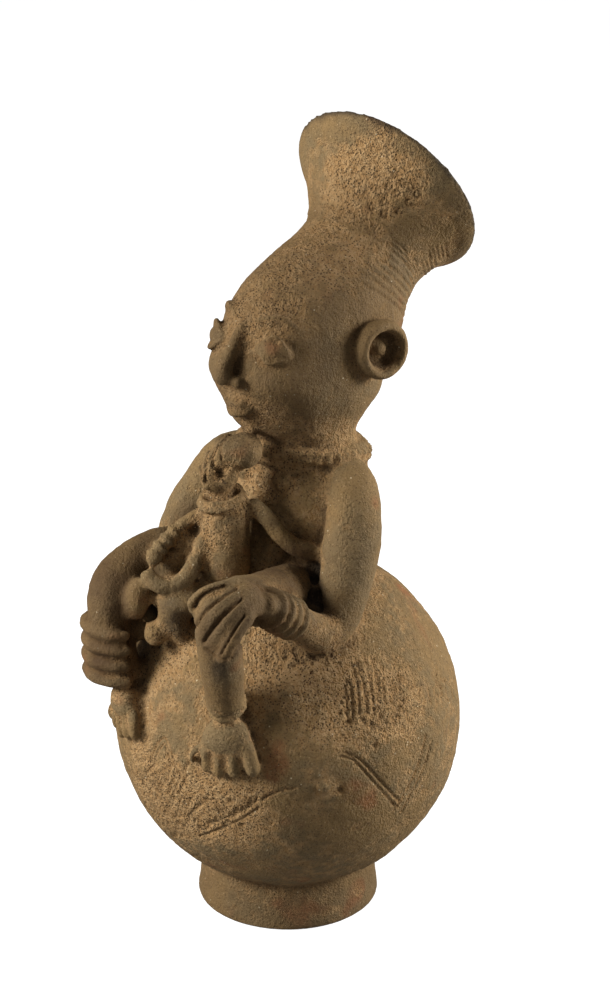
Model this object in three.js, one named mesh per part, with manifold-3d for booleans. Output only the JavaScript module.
// Anthropomorphic jar of fired clay: a round pot on a ring foot. Its neck is a seated mother
// with a child on her lap, and her tall flared coiffure is the open mouth of the jar.
// Millimetres, +Z up, origin on the ground under the middle of the foot. The mother faces -Y.

import * as THREE from 'three';
import { mergeVertices } from 'three/addons/utils/BufferGeometryUtils.js';
import Module from 'manifold-3d';

const wasm = await Module();
wasm.setup();

// Pot
const BELLY_RADIUS = 80;
const BELLY_LIFT = 91.5;
const WALL = 6;
const FOOT_RADIUS = 43;
const FOOT_TOP_RADIUS = 40.5;
const FOOT_WALL = 8;
const FOOT_EDGE = 1.5;
const SEAT_GAP = 0.3;

// Figure: its height runs from the lap line to the highest point of the mouth.
// Every place and girth on it is a share of that height.
const FIGURE_HEIGHT = 200;
const FIGURE_SHARES = 200;
const LAP_SINK = 6.5;
const LIP = 4;

// Facets
const POT_SIDES = 28;
const HOLLOW_SIDES = 16;
const NECK_SIDES = 26;

// Clay
const CLAY_COLOUR = 0x86693f;
const CLAY_ROUGHNESS = 0.95;

const SHARE = FIGURE_HEIGHT / FIGURE_SHARES;
const LAP = BELLY_LIFT + BELLY_RADIUS - LAP_SINK;
const SIDEWAYS = new THREE.Vector3(1, 0, 0);
const FORWARD = new THREE.Vector3(0, -1, 0);
const UPWARD = new THREE.Vector3(0, 0, 1);

// A place on the figure, in shares: towards her left, towards her front, and up from the lap line.
function at(left, front, up) {
  return new THREE.Vector3(left * SHARE, -front * SHARE, LAP + up * SHARE);
}

// A place on the belly: bearing from her front towards her left and height angle, in degrees.
function onBelly(bearing, height, lift) {
  const turn = THREE.MathUtils.degToRad(bearing);
  const rise = THREE.MathUtils.degToRad(height);
  const reach = BELLY_RADIUS + lift * SHARE;
  return new THREE.Vector3(
    reach * Math.cos(rise) * Math.sin(turn),
    -reach * Math.cos(rise) * Math.cos(turn),
    BELLY_LIFT + reach * Math.sin(rise));
}

// Solids

function solidOf(geometry) {
  const bare = geometry.clone();
  bare.deleteAttribute('normal');
  bare.deleteAttribute('uv');
  const merged = mergeVertices(bare, 1e-4);
  const index = merged.index.array;
  const kept = [];
  for (let i = 0; i < index.length; i += 3) {
    const [a, b, c] = [index[i], index[i + 1], index[i + 2]];
    if (a !== b && b !== c && c !== a) kept.push(a, b, c);
  }
  return new wasm.Manifold(new wasm.Mesh({
    numProp: 3,
    vertProperties: new Float32Array(merged.attributes.position.array),
    triVerts: new Uint32Array(kept),
  }));
}

function join(solids) {
  return solids.reduce((whole, solid) => whole.add(solid));
}

function geometryOf(solid) {
  const mesh = solid.getMesh();
  const geometry = new THREE.BufferGeometry();
  geometry.setAttribute('position', new THREE.BufferAttribute(mesh.vertProperties, 3));
  geometry.setIndex(new THREE.BufferAttribute(mesh.triVerts, 1));
  return geometry;
}

// A curve through scalars kept in the three parts of a vector.
function curveOf(rows) {
  return new THREE.CatmullRomCurve3(rows.map(([a, b, c]) => new THREE.Vector3(a, b, c)));
}

// A clay roll along a path with round ends: girths are [half width, half thickness] in shares.
function roll(path, girths, { sides = 6, rows = 6, across = SIDEWAYS } = {}) {
  const curve = new THREE.CatmullRomCurve3(path);
  const girth = curveOf(girths.map(([wide, thick]) => [wide * SHARE, thick * SHARE, 0]));
  const length = curve.getLength();
  const geometry = new THREE.CylinderGeometry(1, 1, 1, sides, rows);
  const place = geometry.attributes.position;
  for (let i = 0; i < place.count; i += 1) {
    const along = (1 - Math.cos(Math.PI * (0.5 - place.getY(i)))) / 2;
    const middle = curve.getPoint(along);
    const tangent = curve.getTangent(along);
    const size = girth.getPoint(along);
    const side = across.clone().addScaledVector(tangent, -across.dot(tangent)).normalize();
    const back = tangent.clone().cross(side);
    const reach = Math.min(along, 1 - along) * length;
    const cap = Math.min(1, reach / size.y);
    const round = Math.sqrt(Math.max(0, 1 - (1 - cap) ** 2));
    middle.addScaledVector(side, place.getX(i) * size.x * round);
    middle.addScaledVector(back, place.getZ(i) * size.y * round);
    place.setXYZ(i, middle.x, middle.y, middle.z);
  }
  return solidOf(geometry);
}

// A rounded lump: half sizes in shares, turned so that its long way points along a direction.
function lump(centre, halfSizes, direction = UPWARD, { sides = 8, rows = 6 } = {}) {
  const geometry = new THREE.SphereGeometry(1, sides, rows);
  geometry.rotateX(Math.PI / 2);
  geometry.scale(halfSizes[0] * SHARE, halfSizes[1] * SHARE, halfSizes[2] * SHARE);
  const turn = new THREE.Quaternion().setFromUnitVectors(UPWARD, direction.clone().normalize());
  geometry.applyQuaternion(turn);
  geometry.translate(centre.x, centre.y, centre.z);
  return solidOf(geometry);
}

// A closed ring of clay round a direction: its own radius, then half height and half depth.
function ring(centre, direction, radius, halfHeight, halfDepth, { sides = 8, facets = 4 } = {}) {
  const section = [];
  for (let i = 0; i <= facets; i += 1) {
    const turn = (i / facets) * 2 * Math.PI;
    section.push(new THREE.Vector2(
      (radius + halfDepth * Math.cos(turn)) * SHARE, halfHeight * Math.sin(turn) * SHARE));
  }
  const geometry = new THREE.LatheGeometry(section, sides);
  const turn = new THREE.Quaternion().setFromUnitVectors(
    new THREE.Vector3(0, 1, 0), direction.clone().normalize());
  geometry.applyQuaternion(turn);
  geometry.translate(centre.x, centre.y, centre.z);
  return solidOf(geometry);
}

// Pot

function arcPoints(radius, centreHeight, fromAngle, toAngle, steps) {
  const points = [];
  for (let i = 0; i <= steps; i += 1) {
    const turn = fromAngle + (toAngle - fromAngle) * (i / steps);
    points.push(new THREE.Vector2(radius * Math.cos(turn), centreHeight + radius * Math.sin(turn)));
  }
  points[points.length - 1].x = 0;
  return points;
}

function latheUpright(profile, sides) {
  const geometry = new THREE.LatheGeometry(profile, sides);
  geometry.rotateX(Math.PI / 2);
  return solidOf(geometry);
}

// The outside of the belly and its ring foot, with the belly swollen by an allowance.
function potOutside(allowance = 0) {
  const seam = -Math.acos(FOOT_TOP_RADIUS / BELLY_RADIUS);
  const recess = FOOT_RADIUS - FOOT_WALL;
  const under = BELLY_LIFT - BELLY_RADIUS;
  return latheUpright([
    new THREE.Vector2(0, under),
    new THREE.Vector2(recess * 0.7, under + FOOT_EDGE),
    new THREE.Vector2(recess - FOOT_EDGE, FOOT_EDGE),
    new THREE.Vector2(recess, 0),
    new THREE.Vector2(FOOT_RADIUS - FOOT_EDGE, 0),
    new THREE.Vector2(FOOT_RADIUS, FOOT_EDGE),
    ...arcPoints(BELLY_RADIUS + allowance, BELLY_LIFT, seam, Math.PI / 2, 12),
  ], POT_SIDES);
}

function potHollow() {
  const inner = BELLY_RADIUS - WALL;
  const profile = arcPoints(inner, BELLY_LIFT, -Math.PI / 2, Math.PI / 2, 8);
  profile[0].x = 0;
  return latheUpright(profile, HOLLOW_SIDES);
}

// Neck of the jar: the mother's torso, head and coiffure, as stations up her back-leaning spine.
// Each has its place (front, up), its lean back and list to her right in degrees,
// and its half width and half depth.
const STATIONS = [
  { front: -6, up: -22, lean: 0, list: 0, wide: 38, deep: 33 },
  { front: -7, up: 6, lean: 0, list: 0, wide: 38, deep: 31 },
  { front: -7, up: 28, lean: 3, list: 0, wide: 34, deep: 28 },
  { front: -9, up: 46, lean: 6, list: 0, wide: 35, deep: 26 },
  { front: -11, up: 57, lean: 10, list: 0, wide: 27, deep: 26 },
  { front: -5, up: 68, lean: 10, list: 0, wide: 27, deep: 29 },
  { front: -7, up: 90, lean: 14, list: 0, wide: 35, deep: 42 },
  { front: -20, up: 113, lean: 28, list: 0, wide: 34.5, deep: 40 },
  { front: -46, up: 136, lean: 44, list: 2, wide: 28.5, deep: 29 },
  { front: -55, up: 149, lean: 52, list: 4, wide: 35, deep: 35 },
  { front: -62.5, up: 162, lean: 57, list: 5, wide: 45.5, deep: 45.5 },
];

const spine = curveOf(STATIONS.map((s) => [0, -s.front * SHARE, LAP + s.up * SHARE]));
const girth = curveOf(STATIONS.map((s) => [s.wide * SHARE, s.deep * SHARE, 0]));
const bend = curveOf(STATIONS.map((s) => [s.lean, s.list, 0]));

// Share of the spine's length at one station, counted from the lowest.
function level(station) {
  return station / (STATIONS.length - 1);
}

function sectionAt(along) {
  const angles = bend.getPoint(along);
  const lean = THREE.MathUtils.degToRad(angles.x);
  const list = THREE.MathUtils.degToRad(angles.y);
  const normal = new THREE.Vector3(
    -Math.sin(list), Math.sin(lean) * Math.cos(list), Math.cos(lean) * Math.cos(list));
  const side = new THREE.Vector3(
    Math.cos(list), Math.sin(list) * Math.sin(lean), Math.sin(list) * Math.cos(lean));
  return { middle: spine.getPoint(along), size: girth.getPoint(along), normal, side,
    back: normal.clone().cross(side) };
}

// Low swellings modelled on the head: place along the spine, bearing from the face in degrees,
// reach along and round, and height.
const SWELLINGS = [
  { along: level(5.0), bearing: 0, reach: 0.035, width: 22, height: 4 },
  { along: level(5.9), bearing: 38, reach: 0.035, width: 16, height: 1.5 },
  { along: level(5.9), bearing: -38, reach: 0.035, width: 16, height: 1.5 },
  { along: level(6.65), bearing: 0, reach: 0.03, width: 40, height: 2 },
];

function swell(along, bearing) {
  return SWELLINGS.reduce((sum, s) => {
    const up = (along - s.along) / s.reach;
    const round = (bearing - s.bearing) / s.width;
    return sum + s.height * Math.exp(-(up * up + round * round));
  }, 0);
}

// A place on the skin of the torso, head or coiffure: bearing from her front towards her left.
function onSkin(along, bearing, lift = 0) {
  const { middle, size, side, back } = sectionAt(along);
  const turn = THREE.MathUtils.degToRad(bearing);
  const out = (swell(along, bearing) + lift) * SHARE;
  return middle.clone()
    .addScaledVector(side, Math.sin(turn) * (size.x + out))
    .addScaledVector(back, -Math.cos(turn) * (size.y + out));
}

function neckOutside() {
  const geometry = new THREE.CylinderGeometry(1, 1, 1, NECK_SIDES, 20);
  const place = geometry.attributes.position;
  for (let i = 0; i < place.count; i += 1) {
    const along = 0.5 - place.getY(i);
    const radial = Math.hypot(place.getX(i), place.getZ(i));
    const bearing = THREE.MathUtils.radToDeg(Math.atan2(place.getX(i), -place.getZ(i)));
    const point = radial < 0.5 ? sectionAt(along).middle : onSkin(along, bearing);
    place.setXYZ(i, point.x, point.y, point.z);
  }
  return solidOf(geometry);
}

function neckHollow() {
  const geometry = new THREE.CylinderGeometry(1, 1, 1, NECK_SIDES, 8);
  const place = geometry.attributes.position;
  const overshoot = 1.06;
  for (let i = 0; i < place.count; i += 1) {
    const reach = (0.5 - place.getY(i)) * overshoot;
    const along = Math.min(1, reach);
    const { middle, size, normal, side, back } = sectionAt(along);
    const wall = THREE.MathUtils.lerp(WALL, LIP, THREE.MathUtils.smoothstep(along, 0.75, 1));
    const past = (reach - along) * FIGURE_HEIGHT;
    middle.addScaledVector(normal, past);
    middle.addScaledVector(side, place.getX(i) * (size.x - wall + past / 2));
    middle.addScaledVector(back, place.getZ(i) * (size.y - wall + past / 2));
    place.setXYZ(i, middle.x, middle.y, middle.z);
  }
  return solidOf(geometry);
}

// Head

function ears() {
  return [-1, 1].map((hand) => {
    const outward = new THREE.Vector3(hand, -0.2, 0.05).normalize();
    const profile = [[0, 4.5], [2.5, 4], [4, 1.5], [6.5, 1.2], [8, 6], [10.5, 8], [13, 6.8],
      [14, 3.5], [12.5, 0], [12, -8], [0, -8]].map(([r, out]) => new THREE.Vector2(r, out));
    const geometry = new THREE.LatheGeometry(profile.map((p) => p.multiplyScalar(SHARE)).reverse(), 11);
    geometry.applyQuaternion(new THREE.Quaternion().setFromUnitVectors(
      new THREE.Vector3(0, 1, 0), outward));
    const centre = at(hand * 35.5, -20, 105.5);
    geometry.translate(centre.x, centre.y, centre.z);
    return solidOf(geometry);
  });
}

function face() {
  const nose = roll(
    [onSkin(level(6.6), 0, -1), onSkin(level(6.25), 0, 2), onSkin(level(5.85), 0, 5.5),
      onSkin(level(5.7), 0, 0)],
    [[3.5, 3.5], [4.2, 4], [7.5, 4.5], [6, 3.5]]);
  const lips = [5.44, 5.26].map((where) => roll(
    [onSkin(level(where), -17, 0), onSkin(level(where), 0, 3), onSkin(level(where), 17, 0)],
    [[2.2, 2.2], [3, 3.4], [2.2, 2.2]], { rows: 4, across: UPWARD }));
  const eyes = [-1, 1].map((hand) => roll(
    [onSkin(level(6.32), hand * 16, 0), onSkin(level(6.34), hand * 28, 1),
      onSkin(level(6.34), hand * 40, 0)],
    [[2.6, 2], [4.6, 3], [2.6, 2]], { rows: 4, across: UPWARD }));
  return [nose, ...lips, ...eyes];
}

function collar() {
  const { middle, normal } = sectionAt(level(3.85));
  return [ring(middle, normal, 25.5, 6.5, 5, { sides: 17 })];
}

function breasts() {
  return [-1, 1].map((hand) => lump(onSkin(level(2.9), hand * 19, -1), [6, 6, 7], FORWARD, { rows: 5 }));
}

// Arms: shoulder, elbow out over the hip, forearm forward to the hand on the knee.

const KNEES = {
  left: at(39, 78, 12),
  right: at(-37, 72, 0),
};

const ANKLES = {
  left: onBelly(25, 23, 2),
  right: onBelly(-21, 21, 2),
};

function arm(shoulder, upper, elbow, wrist, palm) {
  return roll(
    [...shoulder, upper, elbow, wrist, palm],
    [[9, 9], [12.5, 12.5], [13, 13], [10, 10], [7.5, 7.5], [9, 6]],
    { sides: 8, rows: 11 });
}

function arms() {
  return [
    arm([at(20, -9, 50), at(34, -6, 43)], at(42, 2, 22), at(46, 21, -12), at(49, 54, 9),
      at(47, 66, 15)),
    arm([at(-22, -6, 50), at(-33, 3, 44)], at(-43, 14, 24), at(-49, 30, -2), at(-50, 55, -12),
      at(-48, 66, -20)),
  ];
}

function bracelets() {
  return [0, 1, 2, 3].map((i) => {
    const share = i / 3;
    const place = at(49, 47, 3).lerp(at(48.3, 59, 11), share);
    return ring(place, new THREE.Vector3(0.05, -1, 0.6), 7.6, 1.9, 2.6, { facets: 3 });
  });
}

// Left hand: the palm on the outer side of the knee, five digits over it, pointing down and inward.
// The digits are spread evenly between the uppermost one and the lowest one.
const TOP_DIGIT = [at(43, 70, 24), at(37, 81.5, 24.5), at(31, 87.5, 15)];
const LOW_DIGIT = [at(53, 73, 12), at(54.5, 82.5, 5), at(51, 87, -5)];

function leftHand() {
  const digits = [0, 1, 2, 3, 4].map((i) => roll(
    TOP_DIGIT.map((place, k) => place.clone().lerp(LOW_DIGIT[k], i / 4)),
    [[3, 3], [3.3, 3.3], [3, 3]], { rows: 5 }));
  const spread = LOW_DIGIT[0].clone().sub(TOP_DIGIT[0]);
  return [lump(at(46.5, 71, 18), [5.5, 8, 12], spread), ...digits];
}

// Four fingers wrapped round the right shin, set at shares of its drop from the knee to the ankle.
const UPPER_FINGER = 0.38536669153;
const FINGER_STEP = 0.16774785396;

function rightFingers() {
  const shinDrop = (ANKLES.right.z - KNEES.right.z) / SHARE;
  return [0, 1, 2, 3].map((i) => {
    const drop = shinDrop * (UPPER_FINGER + i * FINGER_STEP);
    return roll(
      [at(-49, 66, drop), at(-48, 78, drop), at(-38, 84.5, drop), at(-26, 83, drop), at(-20, 76, drop)],
      [[3, 3], [3.6, 3.6], [3.6, 3.6], [3.4, 3.4], [3, 3]],
      { rows: 5, across: UPWARD });
  });
}

// Legs: thigh forward from the hip, shin down to the foot on the belly.

function leg(hip, thigh, knee, shin, ankle) {
  return roll([hip, thigh, knee, shin, ankle],
    [[13, 13], [12.5, 12.5], [11, 11], [10, 10], [8.5, 8]],
    { sides: 8, rows: 10 });
}

function legs() {
  return [
    leg(at(20, 12, -2), at(32, 46, 7), KNEES.left, at(37, 77, -12), ANKLES.left),
    leg(at(-20, 12, 2), at(-34, 46, 9), KNEES.right, at(-33, 76, -26), ANKLES.right),
  ];
}

function foot(bearing, ankleHeight, toeHeight, spread, size) {
  const across = SIDEWAYS.clone().applyAxisAngle(UPWARD, THREE.MathUtils.degToRad(bearing));
  const instep = roll(
    [onBelly(bearing, ankleHeight, 3), onBelly(bearing, (ankleHeight + toeHeight) / 2, 4),
      onBelly(bearing, toeHeight + 3, 1.5)],
    [[8.5 * size, 7], [12 * size, 7], [15.5 * size, 6]], { sides: 8, across });
  const toes = [-2, -1, 0, 1, 2].map((i) => {
    const fan = bearing + i * spread;
    const lower = Math.abs(i) * 1.4;
    return roll(
      [onBelly(bearing + i * spread * 0.7, toeHeight + 10, 3.5), onBelly(fan, toeHeight + 1, 3),
        onBelly(fan, toeHeight - 4.5 + lower, 1.5)],
      [[2.8 * size, 3], [3.4 * size, 3.4], [3 * size, 2.8]], { sides: 5, rows: 4, across });
  });
  return [instep, ...toes];
}

function feet() {
  return [...foot(26, 24, 8, 5, 1), ...foot(-19, 22, 8, 4, 0.8)];
}

// Child on her lap, facing as she does, one arm back to her side and one on its own knee.

function child() {
  const body = roll(
    [at(-1, 38, -2), at(-1, 38, 12), at(-1, 38, 26), at(-1.5, 38, 36), at(-1.5, 40, 46)],
    [[12, 11], [13, 11.5], [12.5, 11], [12.5, 10], [8, 8]], { sides: 8, rows: 7 });
  const head = lump(at(-2.5, 39, 55), [9, 9.5, 11.5], new THREE.Vector3(0, 0.3, 1));
  const crest = roll(
    [at(-2, 42, 61), at(0, 36, 64), at(1.9, 29.5, 62.8)], [[7.5, 7.5], [8, 8], [9.4, 9.4]],
    { sides: 8, rows: 6 });
  const nose = lump(at(-2.5, 49.5, 53.5), [2.2, 2.5, 3]);
  const nearArm = roll(
    [at(6, 31, 40), at(13, 28.5, 36.5), at(18.7, 25, 28.4), at(24, 19.3, 20.8), at(30, 8.3, 16.4),
      at(33, 3, 17)],
    [[4.6, 4.6], [4.4, 4.4], [4.5, 4.5], [4.5, 4.5], [4.5, 4.5], [4.5, 4.5]]);
  const farArm = roll(
    [at(-8.4, 42.5, 34.7), at(-13, 49, 31), at(-15.6, 55.8, 25.7), at(-17.3, 62, 20),
      at(-18, 67.4, 13.7)],
    [[4.4, 4.4], [3.8, 3.8], [3.6, 3.6], [3.6, 3.6], [3.8, 3.8]]);
  const farThigh = roll(
    [at(-4, 45, 28), at(-4.5, 50, 18), at(-5.3, 57.3, 9.2), at(-8, 63, 5.9), at(-11.5, 67.5, 6.3),
      at(-15, 69.6, 9), at(-17.6, 69, 13)],
    [[5, 5], [4.6, 4.6], [4.4, 4.4], [4.4, 4.4], [4.2, 4.2], [4, 4], [4, 4]]);
  const farShin = roll(
    [at(-9.5, 62, 0), at(-8.5, 62, -8), at(-7.3, 60, -16), at(-7, 56, -26)],
    [[9, 8], [8.5, 7.5], [6, 6], [5, 5]], { sides: 8 });
  const lumps = [
    lump(at(-13.3, 48.5, 17), [6.5, 7, 11.5], UPWARD, { rows: 5 }),
    lump(at(-9, 54, -2), [14, 15, 8.5], UPWARD, { rows: 5 }),
    lump(at(-22, 71, -2), [6.3, 6.5, 11], new THREE.Vector3(0.12, 0.15, 1), { rows: 5 }),
    lump(at(-14.5, 68, -17), [6, 6, 7], UPWARD, { rows: 5 }),
  ];
  return [body, head, crest, nose, nearArm, farArm, farThigh, farShin, ...lumps];
}

// Jar: the figure is set on the pot, and a hair's gap parts the two at the seat.

function pot() {
  return potOutside().subtract(join([potHollow(), neckHollow()]));
}

function motherAndChild() {
  const clay = join([
    neckOutside(), ...ears(), ...face(), ...collar(), ...breasts(), ...arms(), ...bracelets(),
    ...leftHand(), ...rightFingers(), ...legs(), ...feet(), ...child(),
  ]);
  return clay.subtract(join([potOutside(SEAT_GAP), neckHollow()]));
}

function fired(solid, name) {
  const mesh = new THREE.Mesh(geometryOf(solid), new THREE.MeshStandardMaterial({
    color: CLAY_COLOUR, roughness: CLAY_ROUGHNESS, metalness: 0 }));
  mesh.name = name;
  return mesh;
}

const group = new THREE.Group();
group.name = 'anthropomorphic_jar';
group.add(fired(pot(), 'pot'), fired(motherAndChild(), 'mother_and_child'));

export default group;
